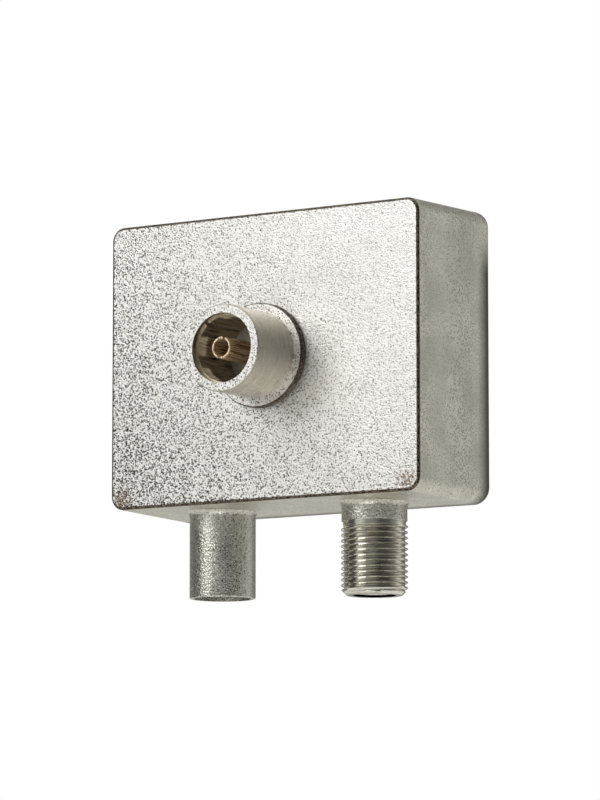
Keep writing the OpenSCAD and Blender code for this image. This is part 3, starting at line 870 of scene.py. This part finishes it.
@dataclass(frozen=True)
class Casting:
    """The housing: a copy of its node with the real thread cut and a finish for each zone.

    Attributes:
        height: Height of the box.
        front_edge: Radius of the edges round the front face.
        clean: How much of that rounding, next to the wall, has the wall's finish instead of the edge's
            painted shade.
        neck: Length of the plain neck above the thread.
        root: Radius where a port blends into the box.
        collar_height: Height of the collar round the barrel.
        collar_inside: Radius past which an upright face of the collar is its side.
        slack: Distance within which a face counts as lying in a plane.
        forward: Forward part of a normal, past which a face looks forward.
        square: Forward part of a normal, past which a face is square to the axis.
        level: Part of a normal along an axis, past which a wall is flat.
        thread: The groove to cut.
    """

    height: float = 41.5
    front_edge: float = 0.45
    clean: float = 0.12
    neck: float = 2.9
    root: float = 1.0
    collar_height: float = 1.25
    collar_inside: float = 7.0
    slack: float = 0.01
    forward: float = 0.9
    square: float = 0.999
    level: float = 0.9995
    thread: Thread = Thread()

    def zone(self, at: Vector, out: Vector) -> Zone:
        """Tells in which zone a face lies.

        Args:
            at: Middle of the face in mm.
            out: Its normal.

        Returns:
            The zone.
        """
        floor = -self.height / 2
        if at.z < floor - self.root and at.x > 0:
            return Zone.THREAD if at.z < floor - self.neck + self.slack else Zone.PORT
        if at.z < floor - self.root / 2:
            return Zone.PORT
        if at.y < -self.slack:
            on_collar = at.y > -self.collar_height and math.hypot(at.x, at.z) > self.collar_inside
            # The collar's side gets the edge's painted shade.
            if on_collar and out.y > -self.forward:
                return Zone.EDGE
            return Zone.FACE if out.y < -self.forward else Zone.TURNED
        if at.y < self.slack and out.y < -self.square:
            return Zone.FACE
        # The front edge's rounding gets the edge's painted shade.
        return Zone.EDGE if at.y < self.front_edge - self.clean else Zone.SIDE

    def true_normals(self, mesh: bpy.types.Mesh) -> None:
        """Gives the flat walls and the thread the normals of their true form.

        Args:
            mesh: The casting's mesh, with a finish on each face.
        """
        normals = [Vector(corner.vector) for corner in mesh.corner_normals]
        for face in mesh.polygons:
            flat = max(abs(part) for part in face.normal) > self.level
            if face.material_index in (Zone.FACE, Zone.SIDE) and flat:
                for loop in face.loop_indices:
                    normals[loop] = face.normal.copy()
            elif face.material_index == Zone.THREAD:
                for loop in face.loop_indices:
                    at = mesh.vertices[mesh.loops[loop].vertex_index].co
                    normals[loop] = self.thread.true_normal(at, face.normal.z) or normals[loop]
        mesh.normals_split_custom_set(normals)

    def build(self) -> bpy.types.Object:
        """Makes the piece that stands for the housing.

        Returns:
            The finished piece.
        """
        materials = [ZONE_FINISHES[zone].build() for zone in Zone]
        piece = merged_copy("housing", "housing_casting")
        cutter = self.thread.cutter(materials[Zone.THREAD])
        cut = piece.modifiers.new("Groove", "BOOLEAN")
        cut.operation, cut.solver, cut.object = "DIFFERENCE", "EXACT", cutter
        mesh = evaluated_mesh(piece)
        piece.modifiers.clear()
        bpy.data.objects.remove(cutter)
        form = bmesh.new()
        form.from_mesh(mesh)
        join_loose(form)
        form.normal_update()
        for face in form.faces:
            face.material_index = self.zone(face.calc_center_median() / MM, face.normal)
        loose = sum(not edge.is_manifold for edge in form.edges)
        # Clearing the materials resets the faces' slots, so the mesh gets them before the faces.
        mesh.materials.clear()
        for material in materials:
            mesh.materials.append(material)
        form.to_mesh(mesh)
        form.free()
        LOG.info("housing_casting: %d open edges", loose)
        piece.data = mesh
        smoothed(piece)
        self.true_normals(piece.data)
        settle(piece, "housing")
        return piece


@dataclass(frozen=True)
class Coil:
    """A winding of one continuous round wire, swept by a Geometry Nodes tree along its path.

    Attributes:
        name: Name of the piece.
        node: Node that it replaces.
        x: Place of its middle across the board.
        behind: Distance of its middle from the board's rear face.
        z: Height of its middle.
        half: Half width and half height of one turn.
        turns: Number of turns.
        ring: Radius of the core's ring, or 0 for a straight coil.
        arc: Angle in degrees of the core's ring that the turns share.
        rise: Step from turn to turn of a straight coil.
        wire: Diameter of the wire.
        squared: How far a turn is squared off, with 1 for an oval.
        steps: Steps in each turn.
        sides: Sides of the wire's section.
        board_rear: Depth of the board's rear face.
    """

    name: str
    node: str
    x: float
    behind: float
    z: float
    half: tuple[float, float]
    turns: int
    ring: float = 0.0
    arc: float = 300.0
    rise: float = 0.0
    wire: float = 0.25
    squared: float = 1.3
    steps: int = 32
    sides: int = 10
    board_rear: float = 11.62

    def path(self) -> list[Vector]:
        """Works out the wire's centre line.

        Returns:
            Its points in mm, in the frame.
        """
        centre = Vector((self.x, self.board_rear + self.behind, self.z))
        sweep = math.radians(self.arc * (self.turns - 1) / self.turns)
        count = self.turns * self.steps
        points = []
        for i in range(count + 1):
            turn = 2 * math.pi * i / self.steps
            across, along = (
                max(-1.0, min(1.0, self.squared * wave(turn))) * size
                for wave, size in zip((math.cos, math.sin), self.half)
            )
            if self.ring:
                angle = sweep * i / count
                out = self.ring + across
                local = Vector((out * math.cos(angle), out * math.sin(angle), along))
            else:
                local = Vector((across, along, self.rise * (i / self.steps - self.turns / 2)))
            points.append(centre + Vector((local.x, local.z, -local.y)))
        return points

    def tree(self) -> bpy.types.NodeTree:
        """Builds the tree that sweeps a round wire along the carrier's edges.

        Returns:
            The tree, with named inputs.
        """
        tree = geometry_tree(
            "Round wire on a path", {"Path": "Geometry", "Radius": "Float", "Finish": "Material"}
        )
        given = add(tree, "NodeGroupInput").outputs
        path = add(tree, "GeometryNodeMeshToCurve", {0: given["Path"]}).outputs[0]
        section = add(
            tree,
            "GeometryNodeCurvePrimitiveCircle",
            {"Resolution": self.sides, "Radius": given["Radius"]},
        ).outputs[0]
        end_sweep(tree, path, section, given["Finish"])
        return tree

    def build(self, finish: bpy.types.Material) -> bpy.types.Object:
        """Makes the winding.

        Args:
            finish: Material of the wire.

        Returns:
            The finished piece.
        """
        line = bpy.data.meshes.new(self.name)
        points = [point * MM for point in self.path()]
        line.from_pydata(points, [(i, i + 1) for i in range(len(points) - 1)], [])
        piece = as_object(self.name, line)
        mesh = grown(piece, self.tree(), {"Radius": self.wire / 2 * MM, "Finish": finish})
        form = bmesh.new()
        form.from_mesh(mesh)
        bmesh.ops.remove_doubles(form, verts=form.verts, dist=MERGE)
        bmesh.ops.recalc_face_normals(form, faces=form.faces)
        form.to_mesh(mesh)
        form.free()
        piece.data = mesh
        smoothed(piece, angle=50.0)
        settle(piece, self.node)
        return piece


COILS = (
    Coil(
        "matching_coil", "matching_winding", x=-9.5, behind=1.77, z=6.5,
        half=(0.945, 1.645), turns=7, ring=2.45,
    ),
    Coil(
        "splitter_coil", "splitter_winding", x=0.0, behind=2.1, z=-7.5,
        half=(1.45, 2.645), turns=3, rise=0.3,
    ),
)


@dataclass(frozen=True)
class Dressing:
    """Finishes of the nodes whose shape is right as packed.

    Attributes:
        turned: Nodes that are shown as merged and smoothly shaded copies, with slot and finish.
        plain: Nodes that are shown as they are, with their finish.
    """

    turned: tuple[tuple[str, str, Any], ...] = (
        ("input_spring_sleeve", "spring_brass", SPRING_BRASS),
        ("input_contact", "contact_brass", CONTACT_BRASS),
        ("input_insulator", "insulator", INSULATOR),
        ("tv_pin", "pin_nickel", PIN_NICKEL),
        ("tv_insulator", "insulator", INSULATOR),
        ("data_contact", "pin_nickel", PIN_NICKEL),
        ("data_insulator", "insulator", INSULATOR),
        ("rear_cover", "cover_sheet", COVER_TIN),
        ("matching_core", "ferrite", FERRITE),
        ("splitter_core", "ferrite", FERRITE),
        ("isolation_resistor", "resistor_lacquer", RESISTOR_LACQUER),
        ("input_capacitor", "disc_lacquer", DISC_LACQUER),
        ("tv_capacitor", "disc_lacquer", DISC_LACQUER),
        ("data_capacitor", "disc_lacquer", DISC_LACQUER),
        ("compensation_capacitor", "blue_lacquer", BLUE_LACQUER),
        ("contact_solder", "solder", SOLDER),
        ("ground_solder", "solder", SOLDER),
    )
    plain: tuple[tuple[str, Any], ...] = (("circuit_board", BOARD),)

    def build(self) -> None:
        """Gives every one of these nodes its finish."""
        wanted = [finish for _, _, finish in self.turned] + [finish for _, finish in self.plain]
        made = {finish: finish.build() for finish in dict.fromkeys(wanted)}
        for node, slot, finish in self.turned:
            piece = merged_copy(node, node + "_dressed")
            piece.data.materials.append(made[finish])
            smoothed(piece)
            settle(piece, node)
        for node, finish in self.plain:
            shown = frame["nodes"][node]
            shown.data.materials.clear()
            shown.data.materials.append(made[finish])
            LOG.info("%s: dressed as packed", node)


@dataclass(frozen=True)
class Lamp:
    """A soft rectangular light that faces the object.

    Attributes:
        name: Name of the light.
        azimuth: Direction from the object, in degrees from -Y towards +X.
        elevation: Height above the horizon in degrees.
        distance: Distance.
        size: Width and height.
        power: Power in watts.
        colour: Linear colour, a slightly warm white.
    """

    name: str
    azimuth: float
    elevation: float
    distance: float
    size: tuple[float, float]
    power: float
    colour: tuple[float, float, float] = (1.0, 0.985, 0.965)

    def build(self) -> None:
        """Makes the light."""
        data = bpy.data.lights.new(self.name, "AREA")
        data.shape = "RECTANGLE"
        data.size, data.size_y = (length * MM for length in self.size)
        data.energy = self.power
        data.color = self.colour
        lamp = bpy.data.objects.new(self.name, data)
        bpy.context.scene.collection.objects.link(lamp)
        way = direction(self.azimuth, self.elevation)
        lamp.location = way * self.distance * MM
        lamp.rotation_mode = "QUATERNION"
        lamp.rotation_quaternion = way.to_track_quat("Z", "Y")
        lamp.visible_camera = False


@dataclass(frozen=True)
class Studio:
    """Plain soft studio: pale floor, a tall softbox, a low reflector and a soft surround.

    Attributes:
        floor_level: Height of the floor.
        floor_size: Length of the floor's sides.
        lamps: The softbox at the front left, and the reflector at the front below.
        greys: Grey of the surround at each azimuth in degrees.
        blue: Share of blue that is left in those greys, which makes them warm.
        ceiling: Upright part of a direction, between which the surround turns to the ceiling.
        ceiling_colour: Linear colour of the ceiling.
    """

    floor_level: float = -800.0
    floor_size: float = 6000.0
    lamps: tuple[Lamp, ...] = (
        Lamp("Softbox", -26.5, 29.0, 450.0, (190.0, 400.0), 0.72),
        Lamp("Reflector", 6.0, -36.0, 300.0, (120.0, 120.0), 0.08),
    )
    greys: tuple[tuple[float, float], ...] = (
        (-180, 0.14), (-168, 0.18), (-147, 0.3), (-118, 0.3), (-95, 0.2), (-70, 0.08),
        (-48, 0.1), (-40, 0.5), (-12, 0.5), (0, 0.3), (30, 0.2), (52, 0.08),
        (85, 0.1), (112, 0.26), (135, 0.66), (150, 0.6), (163, 0.24), (180, 0.24),
    )
    blue: float = 0.94
    ceiling: tuple[float, float] = (0.6, 0.85)
    ceiling_colour: Colour = (0.95, 0.93, 0.86, 1.0)

    def surround(self) -> None:
        """Makes the world: white behind the object, soft greys of a studio in the metal."""
        world = bpy.data.worlds.new("Soft surround")
        bpy.context.scene.world = world
        world.use_nodes = True
        tree = world.node_tree
        tree.nodes.clear()
        way = add(tree, "ShaderNodeTexCoord").outputs["Generated"]
        parts = add(tree, "ShaderNodeSeparateXYZ", {0: way}).outputs
        front = add(tree, MATH, {0: parts[1], 1: -1.0}, operation="MULTIPLY").outputs[0]
        angle = add(tree, MATH, {0: parts[0], 1: front}, operation="ARCTAN2").outputs[0]
        turn = add(
            tree, MATH, {0: angle, 1: 1 / (2 * math.pi), 2: 0.5}, operation="MULTIPLY_ADD"
        ).outputs[0]
        ramp = add(tree, "ShaderNodeValToRGB", {0: turn})
        elements = ramp.color_ramp.elements
        elements.remove(elements[1])
        for i, (degrees, grey) in enumerate(self.greys):
            place = degrees / 360 + 0.5
            element = elements[0] if i == 0 else elements.new(place)
            element.position = place
            element.color = (grey, grey, grey * self.blue, 1.0)
        ceiling = add(tree, MAP_RANGE, {0: parts[2], 1: self.ceiling[0], 2: self.ceiling[1]}).outputs[0]
        shade = add(
            tree,
            "ShaderNodeMix",
            {0: ceiling, 6: ramp.outputs[0], 7: self.ceiling_colour},
            data_type="RGBA",
        ).outputs[2]
        soft = add(tree, "ShaderNodeBackground", {"Color": shade, "Strength": 1.0}).outputs[0]
        white = add(tree, "ShaderNodeBackground", {"Color": linear("ffffff"), "Strength": 1.0}).outputs[0]
        seen = add(tree, "ShaderNodeLightPath").outputs["Is Camera Ray"]
        mixed = add(tree, "ShaderNodeMixShader", {0: seen, 1: soft, 2: white}).outputs[0]
        add(tree, "ShaderNodeOutputWorld", {"Surface": mixed})

    def floor(self) -> None:
        """Makes the plain pale floor, far enough below for views of the underside."""
        material = bpy.data.materials.new("Pale studio floor")
        material.use_nodes = True
        shader = material.node_tree.nodes["Principled BSDF"]
        shader.inputs["Base Color"].default_value = linear("f2f2f0")
        shader.inputs["Roughness"].default_value = 0.9
        shader.inputs["Emission Color"].default_value = linear("ffffff")
        shader.inputs["Emission Strength"].default_value = 0.2
        half, level = self.floor_size / 2 * MM, self.floor_level * MM
        mesh = bpy.data.meshes.new("Floor")
        mesh.from_pydata(
            [(-half, -half, level), (half, -half, level), (half, half, level), (-half, half, level)],
            [],
            [(0, 1, 2, 3)],
        )
        mesh.materials.append(material)
        as_object("Floor", mesh)

    def build(self) -> None:
        """Makes the whole studio."""
        self.surround()
        self.floor()
        for lamp in self.lamps:
            lamp.build()
        bpy.context.scene.view_settings.view_transform = "Standard"


@dataclass(frozen=True)
class Photograph:
    """The camera at the photograph's viewing angle.

    Attributes:
        azimuth: Degrees from -Y towards +X.
        elevation: Degrees above the horizon.
        distance: Distance along the view.
        aside: How far the camera stands to its right.
        above: How far it stands up its own vertical.
        lens: Focal length on a 36 mm sensor.
    """

    azimuth: float = 32.853
    elevation: float = -7.305
    distance: float = 655.421
    aside: float = 5.470
    above: float = -6.291
    lens: float = 206.47

    def build(self) -> None:
        """Makes the camera."""
        back = direction(self.azimuth, self.elevation)
        turn, rise = math.radians(self.azimuth), math.radians(self.elevation)
        right = Vector((math.cos(turn), math.sin(turn), 0.0))
        upward = Vector(
            (-math.sin(turn) * math.sin(rise), math.cos(turn) * math.sin(rise), math.cos(rise))
        )
        data = bpy.data.cameras.new("Camera")
        data.sensor_width, data.lens = 36.0, self.lens
        data.clip_start, data.clip_end = 0.01, 20.0
        camera = bpy.data.objects.new("Camera", data)
        bpy.context.scene.collection.objects.link(camera)
        place = back * self.distance + right * self.aside + upward * self.above
        turned = Matrix((right, upward, back)).transposed().to_4x4()
        camera.matrix_world = Matrix.Translation(place * MM) @ turned
        bpy.context.scene.camera = camera


def main() -> None:
    """Builds the visual model, the studio and the camera."""
    logging.basicConfig(level=logging.INFO, format="%(message)s")
    Photograph().build()
    Studio().build()
    Casting().build()
    Dressing().build()
    enamel = ENAMEL.build()
    for coil in COILS:
        coil.build(enamel)


if __name__ == "__main__":
    main()
